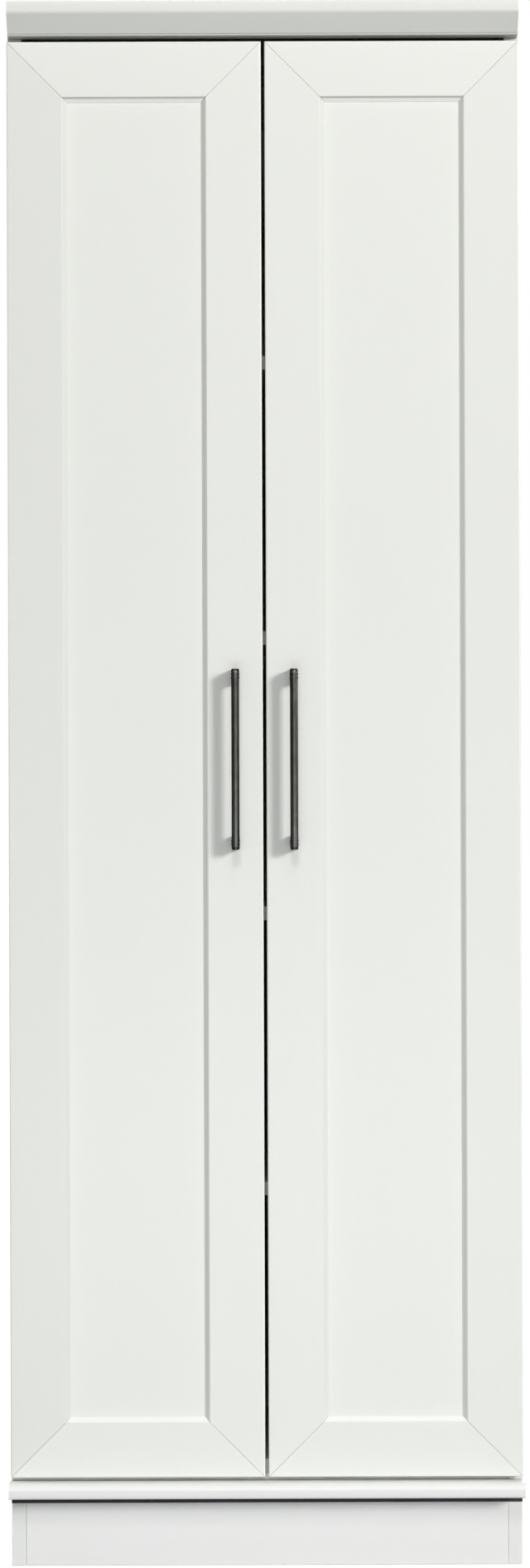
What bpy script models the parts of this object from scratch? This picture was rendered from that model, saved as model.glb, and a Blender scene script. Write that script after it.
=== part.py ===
"""A tall storage cabinet with two framed doors, four shelves and concealed hinges.

Metres, +Z up, the front faces -Y. The origin is at the middle of the footprint, on the floor.
"""

import math

import bmesh
import bpy
from mathutils import Matrix, Vector

# Carcass
OVERALL_HEIGHT = 1.808
CARCASS_WIDTH = 0.592
SIDE_DEPTH = 0.387
SIDE_THICKNESS = 0.016
TOP_THICKNESS = 0.016
BOTTOM_THICKNESS = 0.016
BACK_THICKNESS = 0.003
BACK_EDGE_INSET = 0.002
BACK_FLOOR_CLEARANCE = 0.060
TOE_BOARD_THICKNESS = 0.016
BOARD_EDGE_ROUNDING = 0.0006

# Strips along the front
TOE_FACE_HEIGHT = 0.0785
BASE_MOULDING_HEIGHT = 0.0225
BASE_MOULDING_DEPTH = 0.042
BASE_MOULDING_END_OVERHANG = 0.0015
BASE_MOULDING_NOSE_LENGTH = 0.012
BASE_MOULDING_NOSE_RISE = 0.0075
BASE_MOULDING_UNDERCUT = 0.006
CROWN_HEIGHT = 0.0385
CROWN_BAND_HEIGHT = 0.0125
CROWN_LIP_HEIGHT = 0.0025
CROWN_DEPTH = 0.040
CROWN_FLARE = 0.020
CROWN_END_INSET = 0.0012
CROWN_BAND_ROUNDING = 0.003
CROWN_TOP_ROUNDING = 0.0015

# Shelves and their pins
SHELF_THICKNESS = 0.016
SHELF_PITCH = 0.320
LOWEST_SHELF_CENTRE = 0.435
SHELF_COUNT = 4
FIXED_SHELF_INDEX = 1
SHELF_FRONT_INSET = 0.012
SHELF_END_CLEARANCE = 0.001
SHELF_BACK_CLEARANCE = 0.002
PIN_SHANK_RADIUS = 0.0025
PIN_SHANK_LENGTH = 0.0085
PIN_PEG_RADIUS = 0.0035
PIN_PEG_LENGTH = 0.0085
PIN_PEG_ROUNDING = 0.0012
PIN_FRONT_SETBACK = 0.037
PIN_BACK_SETBACK = 0.064
PIN_HOLE_PITCH = 0.032
SPARE_HOLES_EACH_WAY = 1
HOLE_END_CLEARANCE = 0.001

# Doors
DOOR_THICKNESS = 0.018
DOOR_TO_CARCASS = 0.002
DOOR_TO_DOOR = 0.004
DOOR_TO_MOULDING = 0.0043
DOOR_TO_CROWN = 0.0065
FRAME_FACE_WIDTH = 0.0635
FRAME_BEVEL_WIDTH = 0.006
PANEL_RECESS = 0.006
PANEL_THICKNESS = 0.006
GROOVE_DEPTH = 0.009
GROOVE_END_CLEARANCE = 0.0008
DOOR_EDGE_ROUNDING = 0.0016
DOOR_INNER_EDGE_ROUNDING = 0.0008

# Handles
HANDLE_LENGTH = 0.208
HANDLE_WIDTH = 0.009
HANDLE_BAR_THICKNESS = 0.008
HANDLE_POST_HEIGHT = 0.016
HANDLE_PROJECTION = 0.030
HANDLE_CORNER_RADIUS = 0.005
HANDLE_INNER_RADIUS = 0.003
HANDLE_EDGE_ROUNDING = 0.0009
HANDLE_CENTRE_HEIGHT = 0.934
SCREW_SHANK_RADIUS = 0.002
SCREW_HEAD_RADIUS = 0.0045
SCREW_HEAD_THICKNESS = 0.0024
SCREW_HEAD_ROUNDING = 0.0012
SCREW_BITE = 0.010

# Concealed hinges
HINGE_END_DISTANCE = 0.100
HINGES_PER_DOOR = 3
CUP_RADIUS = 0.0175
CUP_EDGE_DISTANCE = 0.005
CUP_DEPTH = 0.012
CUP_WALL = 0.001
CUP_FLOOR = 0.0008
CUP_WING_REACH = 0.026
CUP_WING_WIDTH = 0.010
CUP_WING_THICKNESS = 0.0012
PIVOT_PIN_RADIUS = 0.0014
PIVOT_CLEARANCE = 0.0003
ARM_PIVOT_OFFSET = 0.0115
ARM_PIVOT_DEPTH = 0.007
CUP_PIVOT_OFFSET = 0.0128
CUP_PIVOT_DEPTH = 0.0051
LINK_EYE_RADIUS = 0.0025
LINK_WEB_THICKNESS = 0.002
LINK_BEND_REACH = 0.0055
LINK_BEND_DEPTH = 0.0028
LINK_WIDTH = 0.010
LINK_SLOT_WIDTH = 0.0064
FORK_SLOT_CLEARANCE = 0.0009
ARM_EYE_RADIUS = 0.0031
ARM_TONGUE_THICKNESS = 0.0044
ARM_TONGUE_LENGTH = 0.024
ARM_TONGUE_LEAN = 0.006
ARM_WIDTH = 0.012
ARM_THICKNESS = 0.006
ARM_LENGTH = 0.052
ARM_TAIL_LENGTH = 0.034
PLATE_HEIGHT = 0.046
PLATE_LENGTH = 0.018
PLATE_THICKNESS = 0.003
PLATE_CORNER_RADIUS = 0.004
PLATE_TO_SHELF = 0.010

# Clearances and the fineness of round forms
FIT = 0.0003
CUT_OVERRUN = 0.002
WELD_DISTANCE = 0.000003
FLAT_ANGLE_DEGREES = 0.5
SMOOTH_ANGLE_DEGREES = 40
ARC_STEPS = 4
SMALL_ARC_STEPS = 3
NOSE_STEPS = 6
PLATE_STEPS = 2
EDGE_STEPS = 2
PIN_SIDES = 10
HOLE_SIDES = 8
CUP_SIDES = 24
TURNED_SIDES = 12

# Places worked out from the sizes above
HALF_WIDTH = CARCASS_WIDTH / 2
DOOR_STANDOFF = DOOR_TO_CARCASS + DOOR_THICKNESS
OVERALL_DEPTH = HANDLE_PROJECTION + DOOR_STANDOFF + SIDE_DEPTH + FIT + BACK_THICKNESS
FRONT_Y = HANDLE_PROJECTION + DOOR_STANDOFF - OVERALL_DEPTH / 2
REAR_Y = FRONT_Y + SIDE_DEPTH
INNER_HALF_WIDTH = HALF_WIDTH - SIDE_THICKNESS
SIDE_TOP_Z = OVERALL_HEIGHT - TOP_THICKNESS - FIT
MOULDING_TOP_Z = TOE_FACE_HEIGHT + BASE_MOULDING_HEIGHT
DOOR_LOW_Z = MOULDING_TOP_Z + DOOR_TO_MOULDING
CROWN_LOW_Z = OVERALL_HEIGHT - CROWN_HEIGHT
DOOR_HIGH_Z = CROWN_LOW_Z - DOOR_TO_CROWN
BOTTOM_PANEL_Z = DOOR_LOW_Z + DOOR_TO_CARCASS
DOOR_BACK_Y = FRONT_Y - DOOR_TO_CARCASS
DOOR_FRONT_Y = DOOR_BACK_Y - DOOR_THICKNESS
DOOR_WIDTH = (CARCASS_WIDTH - DOOR_TO_DOOR) / 2
HANDLE_X = DOOR_TO_DOOR / 2 + FRAME_FACE_WIDTH / 2
SCREW_SPREAD = (HANDLE_LENGTH - HANDLE_POST_HEIGHT) / 2
CUP_X = HALF_WIDTH - CUP_EDGE_DISTANCE - CUP_RADIUS
ARM_PIVOT_X = CUP_X - ARM_PIVOT_OFFSET
ARM_PIVOT_Y = DOOR_BACK_Y - ARM_PIVOT_DEPTH
CUP_PIVOT_X = CUP_X + CUP_PIVOT_OFFSET
CUP_PIVOT_Y = DOOR_BACK_Y - CUP_PIVOT_DEPTH

ALONG_X = Matrix(((0, 0, 1), (1, 0, 0), (0, 1, 0))).to_4x4()
ALONG_Z = Matrix.Identity(4)


def clear_scene():
    for obj in list(bpy.data.objects):
        bpy.data.objects.remove(obj, do_unlink=True)


def new_collection(name):
    collection = bpy.data.collections.new(name)
    bpy.context.scene.collection.children.link(collection)
    return collection


def new_material(name, colour, roughness, metallic=0.0):
    material = bpy.data.materials.new(name)
    material.use_nodes = True
    shader = material.node_tree.nodes["Principled BSDF"]
    shader.inputs["Base Color"].default_value = (*colour, 1.0)
    shader.inputs["Roughness"].default_value = roughness
    shader.inputs["Metallic"].default_value = metallic
    material.diffuse_color = (*colour, 1.0)
    return material


clear_scene()
parts = new_collection("storage_cabinet")
cutters = new_collection("cutters")
WHITE_LACQUER = {"colour": (0.78, 0.79, 0.75), "roughness": 0.45}
WHITE_BOARD = {"colour": (0.80, 0.80, 0.77), "roughness": 0.5}
GUNMETAL = {"colour": (0.09, 0.09, 0.085), "roughness": 0.35, "metallic": 1.0}
NICKEL = {"colour": (0.62, 0.61, 0.58), "roughness": 0.3, "metallic": 1.0}


def add_object(name, mesh, finish, parent=None):
    """A node of the part, with a material of its own, carried by an empty where it moves."""
    obj = bpy.data.objects.new(name, mesh)
    parts.objects.link(obj)
    obj.data.materials.clear()
    obj.data.materials.append(new_material(name, **finish))
    if parent:
        obj.parent = parent
        obj.matrix_parent_inverse = parent.matrix_world.inverted()
    return obj


def add_cutter(name, mesh):
    obj = bpy.data.objects.new(name, mesh)
    cutters.objects.link(obj)
    obj.hide_render = True
    obj.display_type = "WIRE"
    return obj


def cleaned(mesh):
    """Welds loose caps, makes each flat one face again and turns every face outwards."""
    work = bmesh.new()
    work.from_mesh(mesh)
    bmesh.ops.remove_doubles(work, verts=work.verts, dist=WELD_DISTANCE)
    flat = math.radians(FLAT_ANGLE_DEGREES)
    bmesh.ops.dissolve_limit(work, angle_limit=flat, verts=work.verts, edges=work.edges)
    bmesh.ops.recalc_face_normals(work, faces=work.faces)
    work.to_mesh(mesh)
    work.free()
    return mesh


def box_mesh(name, low, high):
    low, high = Vector(low), Vector(high)
    work = bmesh.new()
    bmesh.ops.create_cube(work, size=1.0)
    bmesh.ops.scale(work, vec=high - low, verts=work.verts)
    bmesh.ops.translate(work, vec=(high + low) / 2, verts=work.verts)
    mesh = bpy.data.meshes.new(name)
    work.to_mesh(mesh)
    work.free()
    return mesh


def cylinder_mesh(name, radius, start, end, sides):
    start, end = Vector(start), Vector(end)
    along = end - start
    work = bmesh.new()
    turn = along.to_track_quat("Z", "Y").to_matrix().to_4x4()
    bmesh.ops.create_cone(work, cap_ends=True, segments=sides, radius1=radius, radius2=radius,
                          depth=along.length, matrix=Matrix.Translation((start + end) / 2) @ turn)
    mesh = bpy.data.meshes.new(name)
    work.to_mesh(mesh)
    work.free()
    return mesh


def joined(meshes):
    """One mesh that holds separate closed forms."""
    work = bmesh.new()
    for mesh in meshes:
        work.from_mesh(mesh)
    work.to_mesh(meshes[0])
    work.free()
    return meshes[0]


def prism_mesh(name, outline, middle, length, along):
    """A flat outline made solid: its points lie square to the axis that it runs along."""
    curve = bpy.data.curves.new(name, "CURVE")
    curve.dimensions = "2D"
    curve.fill_mode = "BOTH"
    curve.extrude = length / 2
    spline = curve.splines.new("POLY")
    spline.points.add(len(outline) - 1)
    for point, (a, b) in zip(spline.points, outline):
        point.co = (a, b, 0, 1)
    spline.use_cyclic_u = True
    guide = bpy.data.objects.new(name + "_guide", curve)
    cutters.objects.link(guide)
    guide.matrix_world = along @ Matrix.Translation((0, 0, middle))
    bpy.context.view_layer.update()
    graph = bpy.context.evaluated_depsgraph_get()
    mesh = bpy.data.meshes.new_from_object(guide.evaluated_get(graph))
    mesh.transform(guide.matrix_world)
    mesh.name = name
    bpy.data.objects.remove(guide, do_unlink=True)
    return cleaned(mesh)


def turned_mesh(name, profile, sides, matrix):
    """A profile of (radius, height) pairs, top to bottom, turned about Z and then placed."""
    mesh = bpy.data.meshes.new(name)
    work = bmesh.new()
    verts = [work.verts.new((radius, 0, height)) for radius, height in profile]
    for first, second in zip(verts, verts[1:]):
        work.edges.new((first, second))
    work.to_mesh(mesh)
    work.free()
    guide = add_cutter(name + "_guide", mesh)
    screw = guide.modifiers.new("turn", "SCREW")
    screw.steps = screw.render_steps = sides
    screw.use_merge_vertices = True
    screw.merge_threshold = WELD_DISTANCE
    result = evaluated_mesh(guide, name)
    result.transform(matrix)
    bpy.data.objects.remove(guide, do_unlink=True)
    return cleaned(result)


def evaluated_mesh(obj, name):
    bpy.context.view_layer.update()
    graph = bpy.context.evaluated_depsgraph_get()
    mesh = bpy.data.meshes.new_from_object(obj.evaluated_get(graph))
    mesh.name = name
    return mesh


def arc(centre, radius, start_degrees, end_degrees, steps=ARC_STEPS):
    """Points on an arc, both ends included. The radius may be a pair for an ellipse."""
    across, up = radius if isinstance(radius, tuple) else (radius, radius)
    points = []
    for step in range(steps + 1):
        angle = math.radians(start_degrees + (end_degrees - start_degrees) * step / steps)
        points.append((centre[0] + across * math.cos(angle), centre[1] + up * math.sin(angle)))
    return points


def rounded(outline, radii, steps=ARC_STEPS):
    """The outline with each corner that has a radius turned into an arc."""
    points = []
    count = len(outline)
    for index, (corner, radius) in enumerate(zip(outline, radii)):
        here = Vector(corner)
        before = (Vector(outline[index - 1]) - here).normalized()
        after = (Vector(outline[(index + 1) % count]) - here).normalized()
        if not radius:
            points.append(corner)
            continue
        half = before.angle(after) / 2
        centre = here + (before + after).normalized() * radius / math.sin(half)
        first = here + before * radius / math.tan(half) - centre
        last = here + after * radius / math.tan(half) - centre
        start = math.atan2(first.y, first.x)
        sweep = (math.atan2(last.y, last.x) - start + math.pi) % math.tau - math.pi
        points += arc(centre, radius, math.degrees(start), math.degrees(start + sweep), steps)
    return points


def thick_line(route, thickness):
    """The outline of a strip that follows the route, square at both ends."""
    left, right = [], []
    for index, point in enumerate(route):
        before = point - route[index - 1] if index else route[1] - point
        after = route[index + 1] - point if index + 1 < len(route) else before
        along = (before.normalized() + after.normalized()).normalized()
        square = Vector((-along.y, along.x)) * thickness / 2 / along.dot(before.normalized())
        left.append(tuple(point + square))
        right.append(tuple(point - square))
    return left + right[::-1]


def add_bevel(obj, width, segments=1):
    bevel = obj.modifiers.new("edges", "BEVEL")
    bevel.width = width
    bevel.segments = segments
    bevel.limit_method = "ANGLE"


def add_boolean(obj, other, operation="DIFFERENCE"):
    boolean = obj.modifiers.new(other.name, "BOOLEAN")
    boolean.operation = operation
    boolean.object = other


def fused_mesh(name, first, others=(), cuts=()):
    """One closed mesh from overlapping meshes, with cuts taken out of it."""
    base = add_cutter(name + "_base", first)
    helpers = [add_cutter(f"{name}_add_{index}", mesh) for index, mesh in enumerate(others)]
    knives = [add_cutter(f"{name}_cut_{index}", mesh) for index, mesh in enumerate(cuts)]
    for helper in helpers:
        add_boolean(base, helper, "UNION")
    for knife in knives:
        add_boolean(base, knife)
    mesh = evaluated_mesh(base, name)
    for helper in [base, *helpers, *knives]:
        bpy.data.objects.remove(helper, do_unlink=True)
    return mesh


def board(name, low, high, finish=WHITE_BOARD, parent=None):
    obj = add_object(name, box_mesh(name, low, high), finish, parent)
    add_bevel(obj, BOARD_EDGE_ROUNDING)
    return obj


def shade(obj):
    obj.data.shade_smooth()
    obj.data.set_sharp_from_angle(angle=math.radians(SMOOTH_ANGLE_DEGREES))


def shelf_centre(index):
    return LOWEST_SHELF_CENTRE + SHELF_PITCH * index


def pin_height(index):
    return shelf_centre(index) - SHELF_THICKNESS / 2 - FIT - PIN_PEG_RADIUS


def pin_depths():
    return {"front": FRONT_Y + PIN_FRONT_SETBACK, "back": REAR_Y - PIN_BACK_SETBACK}


def adjustable_shelves():
    return [index for index in range(SHELF_COUNT) if index != FIXED_SHELF_INDEX]


def make_sides():
    for name, side in (("left_side", -1), ("right_side", 1)):
        low = (min(side * HALF_WIDTH, side * INNER_HALF_WIDTH), FRONT_Y, 0)
        high = (max(side * HALF_WIDTH, side * INNER_HALF_WIDTH), REAR_Y, SIDE_TOP_Z)
        panel = board(name, low, high)
        mouth = side * (INNER_HALF_WIDTH - CUT_OVERRUN)
        bottom = side * (INNER_HALF_WIDTH + PIN_SHANK_LENGTH + HOLE_END_CLEARANCE)
        holes = []
        for shelf in adjustable_shelves():
            for step in range(-SPARE_HOLES_EACH_WAY, SPARE_HOLES_EACH_WAY + 1):
                height = pin_height(shelf) + step * PIN_HOLE_PITCH
                for depth in pin_depths().values():
                    start, end = (mouth, depth, height), (bottom, depth, height)
                    holes.append(cylinder_mesh("pin_hole", PIN_SHANK_RADIUS + FIT, start, end, HOLE_SIDES))
        add_boolean(panel, add_cutter(f"{name}_pin_holes", joined(holes)))


def make_carcass_boards():
    board("top_panel", (-HALF_WIDTH, FRONT_Y, OVERALL_HEIGHT - TOP_THICKNESS),
          (HALF_WIDTH, REAR_Y, OVERALL_HEIGHT))
    inner = INNER_HALF_WIDTH - FIT
    board("bottom_panel", (-inner, FRONT_Y, BOTTOM_PANEL_Z),
          (inner, REAR_Y, BOTTOM_PANEL_Z + BOTTOM_THICKNESS))
    board("toe_board", (-inner, FRONT_Y, 0), (inner, FRONT_Y + TOE_BOARD_THICKNESS, BOTTOM_PANEL_Z - FIT))
    back = HALF_WIDTH - BACK_EDGE_INSET
    board("back_panel", (-back, REAR_Y + FIT, BACK_FLOOR_CLEARANCE),
          (back, REAR_Y + FIT + BACK_THICKNESS, OVERALL_HEIGHT - BACK_EDGE_INSET))


def make_crown():
    """A strip whose band stands forward of a slope and a small lip, like a cove cornice."""
    back = FRONT_Y - FIT
    band_y = FRONT_Y - CROWN_DEPTH
    lip_y = band_y + CROWN_FLARE
    top = OVERALL_HEIGHT
    band_low = top - CROWN_BAND_HEIGHT
    lip_high = CROWN_LOW_Z + CROWN_LIP_HEIGHT
    corners = ((back, CROWN_LOW_Z), (lip_y, CROWN_LOW_Z), (lip_y, lip_high), (band_y, band_low),
               (band_y, top), (back, top))
    radii = (0, 0, 0, CROWN_BAND_ROUNDING, CROWN_TOP_ROUNDING, 0)
    length = CARCASS_WIDTH - 2 * CROWN_END_INSET
    outline = rounded(corners, radii, SMALL_ARC_STEPS)
    mesh = prism_mesh("crown_moulding", outline, 0, length, ALONG_X)
    shade(add_object("crown_moulding", mesh, WHITE_LACQUER))


def make_base_moulding():
    """A shelf-like strip with a full round nose that draws back underneath."""
    back = FRONT_Y - FIT
    nose_y = FRONT_Y - BASE_MOULDING_DEPTH
    low, high = TOE_FACE_HEIGHT, MOULDING_TOP_Z
    upper = high - BASE_MOULDING_NOSE_RISE
    start_y = nose_y + BASE_MOULDING_NOSE_LENGTH
    outline = [(back, low), (back, high)]
    outline += arc((start_y, upper), (BASE_MOULDING_NOSE_LENGTH, BASE_MOULDING_NOSE_RISE), 90, 180)
    under = BASE_MOULDING_NOSE_LENGTH + BASE_MOULDING_UNDERCUT
    outline += arc((nose_y + under, upper), (under, upper - low), 180, 270, NOSE_STEPS)[1:]
    length = CARCASS_WIDTH + 2 * BASE_MOULDING_END_OVERHANG
    mesh = prism_mesh("base_moulding", outline, 0, length, ALONG_X)
    shade(add_object("base_moulding", mesh, WHITE_LACQUER))


def make_shelves():
    for index in range(SHELF_COUNT):
        fixed = index == FIXED_SHELF_INDEX
        half = INNER_HALF_WIDTH - (FIT if fixed else SHELF_END_CLEARANCE)
        rear = REAR_Y - (0 if fixed else SHELF_BACK_CLEARANCE)
        low = (-half, FRONT_Y + SHELF_FRONT_INSET, shelf_centre(index) - SHELF_THICKNESS / 2)
        high = (half, rear, shelf_centre(index) + SHELF_THICKNESS / 2)
        board(f"shelf_{index + 1}", low, high)


def make_shelf_pins():
    shank, peg = PIN_SHANK_RADIUS, PIN_PEG_RADIUS
    end = PIN_PEG_LENGTH
    profile = [(0, end), (peg - PIN_PEG_ROUNDING, end), (peg, end - PIN_PEG_ROUNDING), (peg, FIT),
               (shank, FIT), (shank, -PIN_SHANK_LENGTH), (0, -PIN_SHANK_LENGTH)]
    for side_name, side in (("left", -1), ("right", 1)):
        facing = Matrix.Rotation(-side * math.pi / 2, 4, "Y")
        mesh = turned_mesh("shelf_pin", profile, PIN_SIDES, facing)
        for shelf in adjustable_shelves():
            for depth_name, depth in pin_depths().items():
                pin = add_object(f"shelf_{shelf + 1}_{depth_name}_{side_name}_pin", mesh.copy(), NICKEL)
                pin.location = (side * INNER_HALF_WIDTH, depth, pin_height(shelf))
                shade(pin)


def frame_profile():
    """Door frame section: across from the outer edge, and forward from the back face."""
    whole = FRAME_FACE_WIDTH + FRAME_BEVEL_WIDTH
    panel_front = DOOR_THICKNESS - PANEL_RECESS
    groove_low = panel_front - PANEL_THICKNESS - FIT
    groove_high = panel_front + FIT
    groove_end = whole - GROOVE_DEPTH
    corners = ((0, 0), (whole, 0), (whole, groove_low), (groove_end, groove_low), (groove_end, groove_high),
               (whole, groove_high), (FRAME_FACE_WIDTH, DOOR_THICKNESS), (0, DOOR_THICKNESS))
    back, front = DOOR_INNER_EDGE_ROUNDING, DOOR_EDGE_ROUNDING
    return rounded(corners, (back, 0, 0, 0, 0, 0, back, front), SMALL_ARC_STEPS)


def mitred(mesh, planes):
    """Cuts the mesh at each (point, outward normal) plane and closes the cut."""
    work = bmesh.new()
    work.from_mesh(mesh)
    for point, normal in planes:
        everything = [*work.verts, *work.edges, *work.faces]
        cut = bmesh.ops.bisect_plane(work, geom=everything, dist=WELD_DISTANCE, plane_co=point,
                                     plane_no=normal, clear_outer=True)
        edges = [item for item in cut["geom_cut"] if isinstance(item, bmesh.types.BMEdge)]
        bmesh.ops.holes_fill(work, edges=edges, sides=0)
    bmesh.ops.recalc_face_normals(work, faces=work.faces)
    work.to_mesh(mesh)
    work.free()
    return mesh


def mitre_planes(across, outer, ends):
    """Planes at 45 degrees through the outer corners, each drawn back by half a joint gap."""
    planes = []
    for way, place in zip((-1, 1), ends):
        normal = (Vector(across) + Vector(ends_direction(across)) * way).normalized()
        corner = Vector(outer) + Vector(ends_direction(across)) * place
        planes.append((corner - normal * FIT / 2, normal))
    return planes


def ends_direction(across):
    """The direction a frame member runs: up where it faces sideways, else sideways."""
    return (0, 0, 1) if across[0] else (1, 0, 0)


def make_door_frame(hand, side, parent):
    profile = frame_profile()
    outer_x, inner_x = side * HALF_WIDTH, side * DOOR_TO_DOOR / 2
    left_x, right_x = sorted((outer_x, inner_x))
    middle_x, middle_z = (left_x + right_x) / 2, (DOOR_LOW_Z + DOOR_HIGH_Z) / 2
    height = DOOR_HIGH_Z - DOOR_LOW_Z
    made = {}
    for name, edge_x, inward in (("outer_stile", outer_x, -side), ("inner_stile", inner_x, side)):
        outline = [(edge_x + inward * across, DOOR_BACK_Y - forward) for across, forward in profile]
        mesh = prism_mesh(name, outline, middle_z, height, ALONG_Z)
        planes = mitre_planes((inward, 0, 0), (edge_x, 0, 0), (DOOR_LOW_Z, DOOR_HIGH_Z))
        made[name] = add_object(f"{hand}_door_{name}", mitred(mesh, planes), WHITE_LACQUER, parent)
    for name, edge_z, inward in (("top_rail", DOOR_HIGH_Z, -1), ("bottom_rail", DOOR_LOW_Z, 1)):
        outline = [(DOOR_BACK_Y - forward, edge_z + inward * across) for across, forward in profile]
        mesh = prism_mesh(name, outline, middle_x, DOOR_WIDTH, ALONG_X)
        planes = mitre_planes((0, 0, inward), (0, 0, edge_z), (left_x, right_x))
        made[name] = add_object(f"{hand}_door_{name}", mitred(mesh, planes), WHITE_LACQUER, parent)
    reach = FRAME_FACE_WIDTH + FRAME_BEVEL_WIDTH - GROOVE_DEPTH + GROOVE_END_CLEARANCE
    panel_front = DOOR_BACK_Y - DOOR_THICKNESS + PANEL_RECESS
    board(f"{hand}_door_panel", (left_x + reach, panel_front, DOOR_LOW_Z + reach),
          (right_x - reach, panel_front + PANEL_THICKNESS, DOOR_HIGH_Z - reach), WHITE_LACQUER, parent)
    return made


def clear_of_shelves(height):
    """The height itself, or the nearest one at which a hinge plate misses every shelf and its pins."""
    room = PLATE_HEIGHT / 2 + PLATE_TO_SHELF
    for index in range(SHELF_COUNT):
        low = pin_height(index) - PIN_PEG_RADIUS - room
        high = shelf_centre(index) + SHELF_THICKNESS / 2 + room
        if low < height < high:
            return low if height < (low + high) / 2 else high
    return height


def hinge_heights():
    low, high = DOOR_LOW_Z + HINGE_END_DISTANCE, DOOR_HIGH_Z - HINGE_END_DISTANCE
    spacing = (high - low) / (HINGES_PER_DOOR - 1)
    return [clear_of_shelves(low + spacing * index) for index in range(HINGES_PER_DOOR)]


def bore_door(hand, side, stiles):
    for index, height in enumerate(hinge_heights()):
        start = (side * CUP_X, DOOR_BACK_Y + CUT_OVERRUN, height)
        end = (side * CUP_X, DOOR_BACK_Y - CUP_DEPTH - FIT, height)
        bore = cylinder_mesh("cup_bore", CUP_RADIUS + FIT, start, end, CUP_SIDES)
        add_boolean(stiles["outer_stile"], add_cutter(f"{hand}_cup_bore_{index}", bore))
    for index, way in enumerate((-1, 1)):
        height = HANDLE_CENTRE_HEIGHT + way * SCREW_SPREAD
        start = (side * HANDLE_X, DOOR_BACK_Y + CUT_OVERRUN, height)
        end = (side * HANDLE_X, DOOR_FRONT_Y - CUT_OVERRUN, height)
        hole = cylinder_mesh("screw_hole", SCREW_SHANK_RADIUS + FIT, start, end, TURNED_SIDES)
        add_boolean(stiles["inner_stile"], add_cutter(f"{hand}_screw_hole_{index}", hole))


def make_handle(hand, side, parent):
    """A flat bow: a bar carried by two square posts, cut from one outline."""
    near, far = DOOR_FRONT_Y - FIT, DOOR_FRONT_Y - HANDLE_PROJECTION
    inside = far + HANDLE_BAR_THICKNESS
    low, high = HANDLE_CENTRE_HEIGHT - HANDLE_LENGTH / 2, HANDLE_CENTRE_HEIGHT + HANDLE_LENGTH / 2
    post_low, post_high = low + HANDLE_POST_HEIGHT, high - HANDLE_POST_HEIGHT
    corners = ((near, low), (far, low), (far, high), (near, high), (near, post_high), (inside, post_high),
               (inside, post_low), (near, post_low))
    outer, inner = HANDLE_CORNER_RADIUS, HANDLE_INNER_RADIUS
    outline = rounded(corners, (0, outer, outer, 0, 0, inner, inner, 0))
    mesh = prism_mesh("handle", outline, side * HANDLE_X, HANDLE_WIDTH, ALONG_X)
    handle = add_object(f"{hand}_handle", mesh, GUNMETAL, parent)
    add_bevel(handle, HANDLE_EDGE_ROUNDING, EDGE_STEPS)
    for index, way in enumerate((-1, 1)):
        height = HANDLE_CENTRE_HEIGHT + way * SCREW_SPREAD
        start = (side * HANDLE_X, DOOR_FRONT_Y + CUT_OVERRUN, height)
        end = (side * HANDLE_X, DOOR_FRONT_Y - SCREW_BITE - FIT, height)
        hole = cylinder_mesh("post_hole", SCREW_SHANK_RADIUS + FIT, start, end, TURNED_SIDES)
        add_boolean(handle, add_cutter(f"{hand}_post_hole_{index}", hole))
    shade(handle)


def make_handle_screws(hand, side, parent):
    head, shank = SCREW_HEAD_RADIUS, SCREW_SHANK_RADIUS
    under, top = FIT, FIT + SCREW_HEAD_THICKNESS
    tip = -(DOOR_THICKNESS + SCREW_BITE)
    profile = [(0, top), (head - SCREW_HEAD_ROUNDING, top), (head, top - SCREW_HEAD_ROUNDING), (head, under),
               (shank, under), (shank, tip), (0, tip)]
    mesh = turned_mesh("handle_screw", profile, TURNED_SIDES, Matrix.Rotation(-math.pi / 2, 4, "X"))
    for name, way in (("lower", -1), ("upper", 1)):
        screw = add_object(f"{hand}_handle_{name}_screw", mesh.copy(), NICKEL, parent)
        screw.location = (side * HANDLE_X, DOOR_BACK_Y, HANDLE_CENTRE_HEIGHT + way * SCREW_SPREAD)
        shade(screw)


def cup_mesh(side):
    """The cup in the door: a turned shell, a pivot pin across it and two screw wings."""
    inner = CUP_RADIUS - CUP_WALL
    rim, floor = 0, -CUP_DEPTH
    profile = [(0, floor + CUP_FLOOR), (inner, floor + CUP_FLOOR), (inner, rim), (CUP_RADIUS, rim),
               (CUP_RADIUS, floor), (0, floor)]
    place = Matrix.Translation((side * CUP_X, DOOR_BACK_Y, 0)) @ Matrix.Rotation(-math.pi / 2, 4, "X")
    shell = turned_mesh("cup", profile, CUP_SIDES, place)
    half = math.sqrt((CUP_RADIUS - FIT) ** 2 - (CUP_PIVOT_OFFSET + PIVOT_PIN_RADIUS) ** 2)
    pivot = (side * CUP_PIVOT_X, CUP_PIVOT_Y)
    extras = [cylinder_mesh("pin", PIVOT_PIN_RADIUS, (*pivot, -half), (*pivot, half), PIN_SIDES)]
    face, outside = DOOR_BACK_Y + FIT, DOOR_BACK_Y + FIT + CUP_WING_THICKNESS
    root_low = math.sqrt((CUP_RADIUS - CUP_WALL) ** 2 - (CUP_WING_WIDTH / 2) ** 2)
    root_high = math.sqrt((CUP_RADIUS - FIT) ** 2 - (CUP_WING_WIDTH / 2) ** 2)
    for way in (-1, 1):
        spans = ((root_low, CUP_WING_REACH, face, outside),
                 (root_low, root_high, DOOR_BACK_Y - CUP_WALL, outside))
        for near, far, low_y, high_y in spans:
            low_z, high_z = sorted((way * near, way * far))
            extras.append(box_mesh("wing", (side * CUP_X - CUP_WING_WIDTH / 2, low_y, low_z),
                                   (side * CUP_X + CUP_WING_WIDTH / 2, high_y, high_z)))
    return fused_mesh("hinge_cup", shell, extras)


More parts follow.
